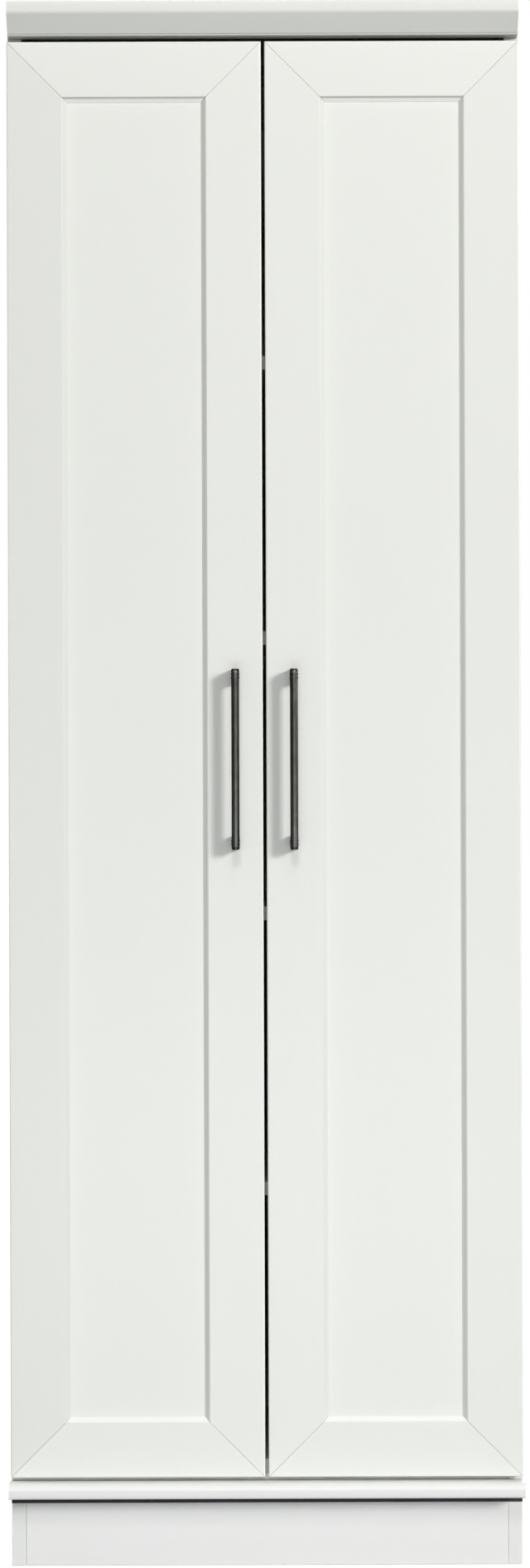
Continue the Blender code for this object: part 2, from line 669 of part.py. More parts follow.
def link_mesh(side):
    """The swinging link: an eye on the cup's pin and a fork on the arm's pin."""
    arm_end, cup_end = Vector((side * ARM_PIVOT_X, ARM_PIVOT_Y)), Vector((side * CUP_PIVOT_X, CUP_PIVOT_Y))
    bend = cup_end - Vector((side * LINK_BEND_REACH, LINK_BEND_DEPTH))
    web = thick_line([arm_end, bend, cup_end], LINK_WEB_THICKNESS)
    body = prism_mesh("link_web", web, 0, LINK_WIDTH, ALONG_Z)
    reach = LINK_WIDTH / 2
    past = reach + CUT_OVERRUN
    bore = PIVOT_PIN_RADIUS + PIVOT_CLEARANCE
    eyes, holes = [], []
    for end in (arm_end, cup_end):
        eyes.append(cylinder_mesh("eye", LINK_EYE_RADIUS, (*end, -reach), (*end, reach), TURNED_SIDES))
        holes.append(cylinder_mesh("eye_hole", bore, (*end, -past), (*end, past), TURNED_SIDES))
    slot = ARM_EYE_RADIUS + FORK_SLOT_CLEARANCE
    inside = LINK_SLOT_WIDTH / 2
    holes.append(cylinder_mesh("fork_slot", slot, (*arm_end, -inside), (*arm_end, inside), TURNED_SIDES))
    return fused_mesh("hinge_link", body, eyes, holes)


def arm_mesh(side):
    """The fixed arm: a plate on the side panel, a bar over it and a tongue into the cup."""
    wall = side * (INNER_HALF_WIDTH - FIT)
    eye = Vector((side * ARM_PIVOT_X, ARM_PIVOT_Y))
    root = eye + Vector((side * ARM_TONGUE_LEAN, ARM_TONGUE_LENGTH))
    past = root + (root - eye).normalized() * ARM_THICKNESS / 2
    thin = LINK_SLOT_WIDTH - 2 * PIVOT_CLEARANCE
    tongue = prism_mesh("tongue", thick_line([eye, past], ARM_TONGUE_THICKNESS), 0, thin, ALONG_Z)
    bar_low, bar_high = root.y - ARM_THICKNESS / 2, root.y - ARM_THICKNESS / 2 + ARM_LENGTH
    bar_near, bar_far = root.x - side * ARM_THICKNESS / 2, root.x + side * ARM_THICKNESS / 2
    tail = bar_high - ARM_TAIL_LENGTH
    corners = ((bar_near, bar_low), (bar_near, bar_high), (wall, bar_high), (wall, tail), (bar_far, tail),
               (bar_far, bar_low))
    bar = prism_mesh("bar", list(corners), 0, ARM_WIDTH, ALONG_Z)
    reach = LINK_WIDTH / 2
    extras = [
        tongue,
        cylinder_mesh("arm_eye", ARM_EYE_RADIUS, (*eye, -thin / 2), (*eye, thin / 2), TURNED_SIDES),
        cylinder_mesh("arm_pin", PIVOT_PIN_RADIUS, (*eye, -reach), (*eye, reach), PIN_SIDES),
    ]
    middle_y = (tail + bar_high) / 2
    rear, front, high = middle_y + PLATE_LENGTH / 2, middle_y - PLATE_LENGTH / 2, PLATE_HEIGHT / 2
    plate = ((front, -high), (rear, -high), (rear, high), (front, high))
    outline = rounded(plate, (PLATE_CORNER_RADIUS,) * len(plate), PLATE_STEPS)
    extras.append(prism_mesh("plate", outline, wall - side * PLATE_THICKNESS / 2, PLATE_THICKNESS, ALONG_X))
    return fused_mesh("hinge_arm", bar, extras)


def make_hinges(hand, side, link_axis, door_axis):
    meshes = {
        "arm": (arm_mesh(side), None),
        "link": (link_mesh(side), link_axis),
        "cup": (cup_mesh(side), door_axis),
    }
    for place, height in zip(("lower", "middle", "upper"), hinge_heights()):
        for piece, (mesh, parent) in meshes.items():
            copy = add_object(f"{hand}_{place}_hinge_{piece}", mesh.copy(), NICKEL, parent)
            copy.location = (0, 0, height)
            shade(copy)


def add_axis(name, place, parent=None):
    empty = bpy.data.objects.new(name, None)
    parts.objects.link(empty)
    empty.location = place
    empty.empty_display_size = HANDLE_LENGTH
    bpy.context.view_layer.update()
    if parent:
        empty.parent = parent
        empty.matrix_parent_inverse = parent.matrix_world.inverted()
        bpy.context.view_layer.update()
    return empty


def make_door(hand, side):
    link_axis = add_axis(f"{hand}_link_axis", (side * ARM_PIVOT_X, ARM_PIVOT_Y, DOOR_LOW_Z))
    door_axis = add_axis(f"{hand}_door_axis", (side * CUP_PIVOT_X, CUP_PIVOT_Y, DOOR_LOW_Z), link_axis)
    stiles = make_door_frame(hand, side, door_axis)
    bore_door(hand, side, stiles)
    make_handle(hand, side, door_axis)
    make_handle_screws(hand, side, door_axis)
    make_hinges(hand, side, link_axis, door_axis)


make_sides()
make_carcass_boards()
make_crown()
make_base_moulding()
make_shelves()
make_shelf_pins()
make_door("left", -1)
make_door("right", 1)
bpy.context.view_layer.update()
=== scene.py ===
import math
import random

import bmesh
import bpy
from mathutils import Matrix, Vector


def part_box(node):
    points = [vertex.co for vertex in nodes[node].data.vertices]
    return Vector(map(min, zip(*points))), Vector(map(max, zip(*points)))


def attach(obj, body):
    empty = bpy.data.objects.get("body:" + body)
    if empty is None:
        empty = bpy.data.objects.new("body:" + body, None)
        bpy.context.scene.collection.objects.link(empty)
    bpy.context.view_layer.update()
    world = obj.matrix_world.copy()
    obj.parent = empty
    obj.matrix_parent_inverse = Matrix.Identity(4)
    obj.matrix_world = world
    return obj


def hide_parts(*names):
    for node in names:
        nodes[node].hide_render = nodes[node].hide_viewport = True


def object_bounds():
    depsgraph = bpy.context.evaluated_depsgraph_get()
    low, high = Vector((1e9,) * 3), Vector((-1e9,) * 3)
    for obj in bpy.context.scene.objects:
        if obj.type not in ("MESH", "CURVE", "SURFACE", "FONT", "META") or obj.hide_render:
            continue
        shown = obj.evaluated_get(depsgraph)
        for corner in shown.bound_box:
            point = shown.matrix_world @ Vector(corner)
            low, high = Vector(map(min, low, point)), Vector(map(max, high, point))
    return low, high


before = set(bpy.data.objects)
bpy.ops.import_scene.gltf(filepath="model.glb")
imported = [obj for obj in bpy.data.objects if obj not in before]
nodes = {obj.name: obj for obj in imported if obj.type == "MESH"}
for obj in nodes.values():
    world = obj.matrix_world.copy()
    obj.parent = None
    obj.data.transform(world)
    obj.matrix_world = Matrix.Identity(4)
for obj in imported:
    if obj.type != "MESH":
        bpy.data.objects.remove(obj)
cadLow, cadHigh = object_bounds()
hands = {"left": -1, "right": 1}
hingePlaces = ("lower", "middle", "upper")
print("cabinet loaded:", len(nodes), "solids")


class Value:
    # a socket that can be used in sums: each operator adds a Math node
    def __init__(self, mixture, socket):
        self.mixture = mixture
        self.socket = socket

    def worked(self, operation, first, second):
        return self.mixture.node("ShaderNodeMath", {"operation": operation}, {0: first, 1: second})

    def __add__(self, other):
        return self.worked("ADD", self, other)

    def __radd__(self, other):
        return self.worked("ADD", other, self)

    def __sub__(self, other):
        return self.worked("SUBTRACT", self, other)

    def __rsub__(self, other):
        return self.worked("SUBTRACT", other, self)

    def __mul__(self, other):
        return self.worked("MULTIPLY", self, other)

    def __rmul__(self, other):
        return self.worked("MULTIPLY", other, self)


class Mixture:
    # a node tree while it is being mixed
    def __init__(self, tree):
        self.tree = tree

    def node(self, kind, settings=None, sockets=None, give=0):
        node = self.tree.nodes.new(kind)
        for name, value in (settings or {}).items():
            setattr(node, name, value)
        for key, value in (sockets or {}).items():
            if isinstance(value, Value):
                self.tree.links.new(value.socket, node.inputs[key])
            else:
                node.inputs[key].default_value = value
        return Value(self, node.outputs[give]) if node.outputs else node

    def parts(self, value):
        # every output of the node that a value comes from
        return [Value(self, socket) for socket in value.socket.node.outputs]

    def place(self):
        return self.node("ShaderNodeTexCoord", give="Object")

    def stretched(self, place, shares):
        return self.node("ShaderNodeVectorMath", {"operation": "MULTIPLY"}, {0: place, 1: shares})

    def axes(self, place):
        return self.parts(self.node("ShaderNodeSeparateXYZ", None, {0: place}))

    def noise(self, place, pattern):
        # a pattern holds the sizes that the noise node is set to
        return self.node("ShaderNodeTexNoise", None, {"Vector": place, **pattern}, "Fac")

    def cells(self, place, scale):
        colour = self.node("ShaderNodeTexVoronoi", {"feature": "F1"},
                           {"Vector": place, "Scale": scale}, "Color")
        return self.node("ShaderNodeSeparateColor", None, {0: colour})

    def ease(self, value, start, end, low=0.0, high=1.0):
        # a soft step: low up to the start, high from the end
        sockets = {"Value": value, "From Min": start, "From Max": end, "To Min": low, "To Max": high}
        return self.node("ShaderNodeMapRange", {"interpolation_type": "SMOOTHSTEP"}, sockets)

    def least(self, first, second):
        return self.node("ShaderNodeMath", {"operation": "MINIMUM"}, {0: first, 1: second})

    def most(self, first, second):
        return self.node("ShaderNodeMath", {"operation": "MAXIMUM"}, {0: first, 1: second})

    def away(self, value, level):
        # how far a value is from a level, either way
        return self.most(value - level, level - value)

    def mix(self, mask, first, second, blend="MIX"):
        first, second = (item if isinstance(item, Value) else (*item, 1.0) for item in (first, second))
        return self.node("ShaderNodeMix", {"data_type": "RGBA", "blend_type": blend},
                         {0: mask, 6: first, 7: second}, 2)

    def shaded(self, colour, amount):
        # the colour times a grey, so that it stays the same hue
        grey = self.node("ShaderNodeCombineColor", None, {0: amount, 1: amount, 2: amount})
        return self.mix(1.0, colour, grey, "MULTIPLY")


class Finish(Mixture):
    # a material whose Principled shader gets its constants first and its patterns last
    def __init__(self, name, constants):
        self.material = bpy.data.materials.new(name)
        self.material.use_nodes = True
        super().__init__(self.material.node_tree)
        self.shader = self.tree.nodes["Principled BSDF"]
        for socket, value in constants.items():
            self.shader.inputs[socket].default_value = value

    def done(self, colour, roughness, height=None, reach=0.0):
        self.tree.links.new(colour.socket, self.shader.inputs["Base Color"])
        self.tree.links.new(roughness.socket, self.shader.inputs["Roughness"])
        if height:
            bump = self.node("ShaderNodeBump", None, {"Strength": 1.0, "Distance": reach, "Height": height})
            self.tree.links.new(bump.socket, self.shader.inputs["Normal"])
        return self.material


def edgeDistance(finish, place, low, high):
    # how far a point on a box-shaped piece is from the nearest edge where two faces meet
    gaps = [finish.least(axis - low[i], high[i] - axis) for i, axis in enumerate(finish.axes(place))]
    nearer = finish.least(gaps[0], gaps[1])
    farther = finish.most(gaps[0], gaps[1])
    return finish.most(nearer, finish.least(farther, gaps[2]))


# painted and coated boards, in metres where a value is a length
lacquer = {
    "colour": (0.778, 0.785, 0.745),
    "edgeWearAndHighlightColour": (0.860, 0.868, 0.828),
    "clearRoughness": 0.44,
    "cloudShare": 0.022,
    "grainShare": 0.016,
    "edgeWidth": 0.0017,
    "grainHeight": 0.000035,
}
melamine = {
    "colour": (0.790, 0.792, 0.765),
    "edgeWearAndHighlightColour": (0.830, 0.832, 0.810),
    "clearRoughness": 0.52,
    "cloudShare": 0.015,
    "grainShare": 0.010,
    "edgeWidth": 0.0011,
    "grainHeight": 0.00003,
}
# the crown's copy of the lacquer is darker, a painted shade, and the base's copy is lighter, a painted
# light
shadedCrownLacquer = {**lacquer, "colour": (0.742, 0.749, 0.716), "edgeWearAndHighlightColour": (0.790, 0.797, 0.765)}
sideLacquer = {**lacquer, "colour": (0.803, 0.804, 0.780), "edgeWearAndHighlightColour": (0.850, 0.852, 0.825)}
litBaseLacquer = {**lacquer, "colour": (0.828, 0.826, 0.808), "edgeWearAndHighlightColour": (0.885, 0.885, 0.868)}
# painted shade along the lowest few millimetres of the crown strip: its height, its fade and the share of
# light kept
crownLipShade = {"height": 0.0026, "fade": 0.00052, "share": 0.66}

# what all coated boards share: how fine each pattern is, how much it shows, and where its noise turns on
coat = {
    "sheen": {"Specular IOR Level": 0.42, "Coat Weight": 0.12, "Coat Roughness": 0.32},
    "clouds": {"Scale": 3.5, "Detail": 3.0},
    "streaks": {"Scale": 260, "Detail": 4.0, "Roughness": 0.62},
    "pores": {"Scale": 700, "Detail": 2.0},
    "poreLevels": (0.62, 0.72),
    "poreShare": 0.8,
    "pebbles": {"Scale": 850, "Detail": 1.0},
    "smudges": {"Scale": 14, "Detail": 4.0, "Roughness": 0.6},
    "blotches": {"Scale": 45, "Detail": 3.0},
    "wearAndHighlightLevels": (0.30, 0.55),
    "leastWearAndHighlight": 0.72,
    "edgeFade": 0.35,
    "smudgeGloss": 0.09,
    "pebbleGloss": 0.05,
    "streakHeight": 0.5,
    "pebbleHeight": 0.35,
    "poreHeight": 0.6,
}
# the slope round a door panel: the painted light and shade of its foot, middle and front, and where each
# fades into the next
panelSlope = {
    "shares": {"under": (1.12, 0.74, 0.90), "sill": (1.08, 1.10, 1.05),
               "fromLeft": (0.93, 0.91, 0.93), "fromRight": (1.08, 0.97, 1.12)},
    "fades": ((0.0012, 0.0020), (0.0042, 0.0050), (0.0058, 0.0063)),
    "underFades": ((0.0034, 0.0040), (0.0056, 0.0060), (0.0060, 0.0063)),
    "depth": (0.0066, 0.0064),
    "width": 0.0060,
    "hollow": 0.0039,
    "roundLip": 0.0004,
}
# for each frame member: the axis across its slope, its place beside the panel, and the way up the slope
memberSlopes = {
    "top_rail": ("z", "under", 1),
    "bottom_rail": ("z", "sill", -1),
    "left_door_outer_stile": ("x", "fromLeft", -1),
    "right_door_inner_stile": ("x", "fromLeft", -1),
    "left_door_inner_stile": ("x", "fromRight", 1),
    "right_door_outer_stile": ("x", "fromRight", 1),
}
# painted shade: the outer stiles are darker, as the light falls off towards the sides
paintedBoardShades = {"left_door_outer_stile": 0.955, "right_door_outer_stile": 0.985}
banding = {"seamFromEdge": 0.0008, "seamWidth": 0.0002, "seamFade": 0.00008, "seamShare": 0.6,
           "seamColour": (0.520, 0.510, 0.470)}
chipboard = {
    "palest": (0.640, 0.480, 0.310),
    "darkest": (0.270, 0.165, 0.090),
    "toneRange": (0.25, 0.85),
    "chipsPerMetre": 430,
    "chipShares": (1.0, 1.0, 1.6),
    "specks": {"Scale": 1500, "Detail": 3.0, "Roughness": 0.7},
    "coarseMix": (0.65, 0.5),
    "dustMix": (0.6, 0.34),
    "cutDepth": (0.0006, 0.0003),
    "fineLayer": (0.00224, 0.00336),
    "roughnessMore": 0.35,
    "crumbHeight": 3.0,
}
grainShares = {"x": (0.05, 1.0, 1.0), "z": (1.0, 1.0, 0.05)}


def chipColour(finish, place, core):
    # coarse chips in the core, fine dust in the layers at the faces
    flakes = finish.cells(finish.stretched(place, chipboard["chipShares"]), chipboard["chipsPerMetre"])
    specks = finish.noise(place, chipboard["specks"])
    coarse = flakes * chipboard["coarseMix"][0] + specks * chipboard["coarseMix"][1]
    dust = specks * chipboard["dustMix"][0] + chipboard["dustMix"][1]
    tone = finish.ease(core * coarse + (1 - core) * dust, *chipboard["toneRange"])
    return finish.mix(tone, chipboard["darkest"], chipboard["palest"])


def cutFace(finish, coordinates, board):
    # 1 on the cut faces that the coating doesn't reach, 0 elsewhere
    raw = 0.0
    for axis, level, inward in board["raw"]:
        depth = (coordinates[axis] - level) * inward
        raw = finish.most(raw, finish.ease(depth, *chipboard["cutDepth"]))
    return raw


def chipCore(finish, coordinates, board):
    # 1 in the coarse core of the board, 0 in the fine layers at its faces
    thin = board["thin"]
    across = coordinates[thin]
    fromFace = finish.least(across - getattr(board["low"], thin), getattr(board["high"], thin) - across)
    return finish.ease(fromFace, *chipboard["fineLayer"])


def slopeRise(coordinates, board):
    # how far a point is from the foot of the slope, measured across the door
    axis, kind, way = board["slope"]
    foot = getattr(board["low"] if way > 0 else board["high"], axis)
    return (coordinates[axis] - foot) * way


def paintedSlopeShade(finish, rise, depth, kind):
    # painted light and shade: the shares, joined by short fades, on the front of the door only
    shares = (*panelSlope["shares"][kind], 1.0)
    fades = panelSlope["underFades" if kind == "under" else "fades"]
    tone = shares[0]
    for share, nextShare, fade in zip(shares, shares[1:], fades):
        tone = tone + finish.ease(rise, *fade, 0.0, nextShare - share)
    return 1 + finish.ease(depth, *panelSlope["depth"]) * (tone - 1)


def slopeHeight(finish, rise):
    # the slope under the top rail, at 45 degrees, is hollow at its foot and has a rounded lip
    lip = finish.least(finish.most(panelSlope["width"] - rise, 0.0), panelSlope["roundLip"])
    return (lip + finish.most(panelSlope["hollow"] - rise, 0.0)) * math.sqrt(2)


def boardFinish(name, board):
    # a coated board: soft clouding, faint pressed grain, paler eased edges that are partly wear and partly
    # a painted highlight and, where cut, bare chipboard
    look, low, high = board["look"], board["low"], board["high"]
    finish = Finish(name, coat["sheen"])
    place = finish.place()
    coordinates = dict(zip("xyz", finish.axes(place)))
    along = finish.stretched(place, grainShares[board["grain"]])
    clouds = finish.noise(place, coat["clouds"])
    streaks = finish.noise(along, coat["streaks"])
    pores = finish.ease(finish.noise(along, coat["pores"]), *coat["poreLevels"])
    pebbles = finish.noise(place, coat["pebbles"])
    smudges = finish.noise(place, coat["smudges"])
    blotches = finish.noise(place, coat["blotches"])
    wearAndHighlight = finish.ease(blotches, *coat["wearAndHighlightLevels"], coat["leastWearAndHighlight"], 1.0)
    toEdge = edgeDistance(finish, place, low, high)
    edge = finish.ease(toEdge, look["edgeWidth"], look["edgeWidth"] * coat["edgeFade"])
    # the board's tone carries the painted shade of the outer stiles
    tone = board["tone"] + look["cloudShare"] * (clouds - 0.5) + look["grainShare"] * (streaks - 0.5)
    tone = tone - pores * (look["grainShare"] * coat["poreShare"])
    height = streaks * coat["streakHeight"] + pebbles * coat["pebbleHeight"] - pores * coat["poreHeight"]
    # painted shade: the lowest part of the crown strip is darker
    if board["lip"]:
        top = low.z + crownLipShade["height"]
        tone = tone * finish.ease(coordinates["z"], top, top + crownLipShade["fade"], crownLipShade["share"], 1.0)
    # painted light and shade on the slope round the panel, and under the top rail a real hollow and lip as
    # bump
    if board["slope"]:
        kind = board["slope"][1]
        rise = slopeRise(coordinates, board)
        tone = tone * paintedSlopeShade(finish, rise, coordinates["y"] - low.y, kind)
        if kind == "under":
            height = height + slopeHeight(finish, rise) * (1 / look["grainHeight"])
    # the paler edges are partly blotchy wear and partly a painted highlight where the rounded edges catch
    # the light
    colour = finish.shaded(finish.mix(edge * wearAndHighlight, look["colour"], look["edgeWearAndHighlightColour"]), tone)
    roughness = look["clearRoughness"] + coat["smudgeGloss"] * (smudges - 0.5)
    roughness = roughness + coat["pebbleGloss"] * (pebbles - 0.5)
    if board["banded"]:
        toSeam = finish.away(coordinates["y"], low.y + banding["seamFromEdge"])
        seam = finish.ease(toSeam, banding["seamWidth"], banding["seamFade"])
        colour = finish.mix(seam * banding["seamShare"], colour, banding["seamColour"])
        height = height - seam
    if board["raw"]:
        raw = cutFace(finish, coordinates, board)
        crumbs = finish.cells(place, chipboard["chipsPerMetre"])
        colour = finish.mix(raw, colour, chipColour(finish, place, chipCore(finish, coordinates, board)))
        roughness = roughness + raw * chipboard["roughnessMore"]
        height = height + raw * crumbs * chipboard["crumbHeight"]
    return finish.done(colour, roughness, height, look["grainHeight"])


def boardOf(name):
    # which coating a board has, how its grain runs, and the cut faces that the coating doesn't reach
    low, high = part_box(name)
    board = {"low": low, "high": high, "look": melamine, "grain": "x", "thin": "z", "banded": False,
             "raw": [], "lip": name.startswith("crown"), "slope": None, "tone": paintedBoardShades.get(name, 1.0)}
    if name in ("left_side", "right_side"):
        board.update(look=sideLacquer, grain="z", thin="x", banded=True,
                     raw=[("y", high.y, -1), ("z", low.z, 1), ("z", high.z, -1)])
    elif name.startswith("shelf") or name in ("top_panel", "bottom_panel"):
        board.update(banded=True, raw=[("y", high.y, -1)])
    elif name == "toe_board":
        board.update(look=litBaseLacquer, thin="y", raw=[("z", low.z, 1)])
    elif name.endswith("moulding"):
        board.update(look=shadedCrownLacquer if name.startswith("crown") else litBaseLacquer, thin="y",
                     raw=[("y", high.y, -1)])
    else:
        slope = next((slope for ending, slope in memberSlopes.items() if name.endswith(ending)), None)
        board.update(look=lacquer, grain="x" if name.endswith("rail") else "z", slope=slope)
    return board


boardEndings = ("stile", "rail", "door_panel", "moulding", "side", "top_panel", "bottom_panel",
                "toe_board")
boards = [name for name in nodes if name.endswith(boardEndings)]
boards += [name for name in nodes if name.startswith("shelf") and not name.endswith("pin")]
for name in boards:
    nodes[name].material_slots[0].material = boardFinish(name + "_coat", boardOf(name))
print("boards coated:", len(boards))


# the hardboard back: printed paper inside, bare pressed fibre with the mark of the press screen outside
hardboard = {
    "sheen": {"Specular IOR Level": 0.35},
    "printColour": (0.780, 0.782, 0.755),
    "bareColour": (0.400, 0.270, 0.165),
    "fibreColour": (0.250, 0.155, 0.090),
    "bareDepth": (0.0004, 0.0008),
    "bareLevels": (0.35, 0.75),
    "fibreShares": (1.0, 1.0, 0.35),
    "fibres": {"Scale": 380, "Detail": 5.0, "Roughness": 0.7},
    "patches": {"Scale": 9, "Detail": 4.0, "Roughness": 0.6},
    "bareMix": (0.7, 0.4),
    "paperMix": (0.02, 0.012),
    "roughness": 0.5,
    "bareRoughness": 0.22,
    "patchGloss": 0.08,
    "meshPitch": 0.0016,
    "fibreHeight": 0.4,
    "waveHeight": 0.6,
    "meshHeight": 0.00010,
}


def backFinish(name, high):
    finish = Finish(name, hardboard["sheen"])
    place = finish.place()
    x, y, z = finish.axes(place)
    bare = finish.ease(high.y - y, *reversed(hardboard["bareDepth"]))
    turns = math.tau / hardboard["meshPitch"]
    waves = [finish.node("ShaderNodeMath", {"operation": "SINE"}, {0: axis * turns}) for axis in (x, z)]
    laid = finish.stretched(place, hardboard["fibreShares"])
    fibres = finish.noise(laid, hardboard["fibres"])
    patches = finish.noise(place, hardboard["patches"])
    bareMix, paperMix = hardboard["bareMix"], hardboard["paperMix"]
    bareTone = finish.ease(fibres * bareMix[0] + patches * bareMix[1], *hardboard["bareLevels"])
    bareColour = finish.mix(bareTone, hardboard["fibreColour"], hardboard["bareColour"])
    paperTone = 1 + paperMix[0] * (patches - 0.5) + paperMix[1] * (fibres - 0.5)
    colour = finish.mix(bare, finish.shaded(hardboard["printColour"], paperTone), bareColour)
    roughness = hardboard["roughness"] + bare * hardboard["bareRoughness"]
    roughness = roughness + hardboard["patchGloss"] * (patches - 0.5)
    height = fibres * hardboard["fibreHeight"] + bare * waves[0] * waves[1] * hardboard["waveHeight"]
    return finish.done(colour, roughness, height, hardboard["meshHeight"])


nodes["back_panel"].material_slots[0].material = backFinish("back_board_finish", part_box("back_panel")[1])
print("back panel done")


# metals: drawn or stamped, with lines of the brush, cloudy plating and a few fine pits
gunmetal = {"colour": (0.078, 0.078, 0.072), "glintColour": (0.128, 0.127, 0.117), "roughness": 0.34,
            "brushShares": (1.0, 1.0, 0.03), "brush": {"Scale": 2400, "Detail": 4.0, "Roughness": 0.65},
            "sheen": {"Metallic": 1.0, "Specular Tint": (0.30, 0.30, 0.30, 1.0)}}
nickel = {"colour": (0.540, 0.530, 0.505), "glintColour": (0.690, 0.680, 0.655), "roughness": 0.28,
          "brushShares": (1.0, 0.08, 1.0), "brush": {"Scale": 1800, "Detail": 4.0, "Roughness": 0.65},
          "sheen": {"Metallic": 1.0}}
steel = {"colour": (0.500, 0.505, 0.500), "glintColour": (0.690, 0.690, 0.680), "roughness": 0.26,
         "brushShares": (1.0, 1.0, 1.0), "brush": {"Scale": 1500, "Detail": 4.0, "Roughness": 0.65},
         "sheen": {"Metallic": 1.0}}
plating = {"clouds": {"Scale": 60, "Detail": 3.0, "Roughness": 0.6}, "pits": {"Scale": 2600, "Detail": 2.0},
           "pitLevels": (0.66, 0.74), "pitShade": 0.2, "glintMix": (0.7, 0.3), "glintLevels": (0.40, 0.62),
           "brushGloss": 0.14, "cloudGloss": 0.12, "brushHeight": 0.000012}


def metalFinish(name, look, darkened=None):
    # darkened, when given, paints shade: the share of light that each part of the surface keeps, from its
    # place
    finish = Finish(name, look["sheen"])
    place = finish.place()
    lines = finish.noise(finish.stretched(place, look["brushShares"]), look["brush"])
    clouds = finish.noise(place, plating["clouds"])
    pits = finish.ease(finish.noise(place, plating["pits"]), *plating["pitLevels"])
    glints = lines * plating["glintMix"][0] + clouds * plating["glintMix"][1]
    tone = 1 - pits * plating["pitShade"]
    if darkened:
        tone = tone * darkened(finish, place)
    shine = finish.ease(glints, *plating["glintLevels"])
    colour = finish.shaded(finish.mix(shine, look["colour"], look["glintColour"]), tone)
    roughness = look["roughness"] + plating["brushGloss"] * (lines - 0.5)
    roughness = roughness + plating["cloudGloss"] * (clouds - 0.5)
    return finish.done(colour, roughness, lines - pits, plating["brushHeight"])


hingeMetal = metalFinish("hinge_nickel", nickel)
screwMetal = metalFinish("screw_steel", steel)
metalEndings = {"_hinge_arm": hingeMetal, "_hinge_link": hingeMetal,
                "_hinge_cup": hingeMetal, "_screw": screwMetal, "_pin": hingeMetal}
for name, node in nodes.items():
    for ending, metal in metalEndings.items():
        if name.endswith(ending):
            node.material_slots[0].material = metal
print("metals done")


# small plastics, with a faint cloudiness and the fine sparkle of the mould
plastic = {"colour": (0.800, 0.800, 0.775), "roughness": 0.34}
rubber = {"colour": (0.640, 0.650, 0.640), "roughness": 0.22}
mouldMarks = {"sheen": {"Coat Weight": 0.15}, "clouds": {"Scale": 90, "Detail": 3.0}, "cloudShare": 0.04,
              "sparks": {"Scale": 2200, "Detail": 2.0}, "sparkGloss": 0.10, "sparkHeight": 0.00001}


def plasticFinish(name, look):
    finish = Finish(name, mouldMarks["sheen"])
    place = finish.place()
    clouds = finish.noise(place, mouldMarks["clouds"])
    sparks = finish.noise(place, mouldMarks["sparks"])
    colour = finish.shaded(look["colour"], 1 + mouldMarks["cloudShare"] * (clouds - 0.5))
    roughness = look["roughness"] + mouldMarks["sparkGloss"] * (sparks - 0.5)
    return finish.done(colour, roughness, sparks, mouldMarks["sparkHeight"])


whitePlastic = plasticFinish("cap_plastic", plastic)
softRubber = plasticFinish("bumper_rubber", rubber)

# angles in degrees: from where an edge is left sharp in shading, and from where it is rounded off
edgeAngles = {"sharp": 35, "rounded": 40}


def turned(profile, sides):
    # a closed round mesh from rings of (radius, height) about Z, from the top down
    work = bmesh.new()
    rings = []
    for radius, height in profile:
        count = sides if radius else 1
        angles = [math.tau * k / sides for k in range(count)]
        rings.append([work.verts.new((radius * math.cos(a), radius * math.sin(a), height)) for a in angles])
    for upper, lower in zip(rings, rings[1:]):
        for k in range(sides):
            corners = [upper[k % len(upper)], lower[k % len(lower)], lower[(k + 1) % len(lower)],
                       upper[(k + 1) % len(upper)]]
            work.faces.new(list(dict.fromkeys(corners)))
    mesh = bpy.data.meshes.new("turned")
    work.to_mesh(mesh)
    work.free()
    return mesh


def helper(mesh):
    # a short-lived object for a cut or a rounding
    item = bpy.data.objects.new("helper", mesh)
    bpy.context.scene.collection.objects.link(item)
    return item


def shapedBy(item):
    # the mesh of a helper after its modifiers; the helper itself is removed
    bpy.context.view_layer.update()
    result = bpy.data.meshes.new_from_object(item.evaluated_get(bpy.context.evaluated_depsgraph_get()))
    bpy.data.objects.remove(item, do_unlink=True)
    return result


def edgesRounded(mesh, width, steps):
    item = helper(mesh)
    bevel = item.modifiers.new("edges", "BEVEL")
    bevel.width = width
    bevel.segments = steps
    bevel.limit_method = "ANGLE"
    bevel.angle_limit = math.radians(edgeAngles["rounded"])
    return shapedBy(item)


def crossCut(mesh, top, driver):
    # sinks a cross for the driver into a head whose top is at this height
    head = helper(mesh)
    knives = []
    for across in ((driver["reach"], driver["width"]), (driver["width"], driver["reach"])):
        blade = bmesh.new()
        bmesh.ops.create_cube(blade, size=1.0)
        bmesh.ops.scale(blade, vec=(*across, driver["depth"] * 2), verts=blade.verts)
        bmesh.ops.translate(blade, vec=(0, 0, top), verts=blade.verts)
        bladeMesh = bpy.data.meshes.new("blade")
        blade.to_mesh(bladeMesh)
        blade.free()
        knives.append(helper(bladeMesh))
        cut = head.modifiers.new("cut", "BOOLEAN")
        cut.object = knives[-1]
        cut.operation = "DIFFERENCE"
        cut.solver = "EXACT"
    result = shapedBy(head)
    for knife in knives:
        bpy.data.objects.remove(knife, do_unlink=True)
    return result


def facing(point, direction, turn=0.0):
    # where a fitting sits, its own Z along the direction
    aim = Vector(direction).to_track_quat("Z", "Y").to_matrix().to_4x4()
    return Matrix.Translation(point) @ aim @ Matrix.Rotation(turn, 4, "Z")


def newPiece(name, mesh, material, body, slot, *replaced):
    mesh.name = name
    mesh.materials.clear()
    mesh.materials.append(material)
    mesh.shade_smooth()
    mesh.set_sharp_from_angle(angle=math.radians(edgeAngles["sharp"]))
    piece = bpy.data.objects.new(name, mesh)
    bpy.context.scene.collection.objects.link(piece)
    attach(piece, body)
    if replaced:
        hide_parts(*replaced)
    return piece


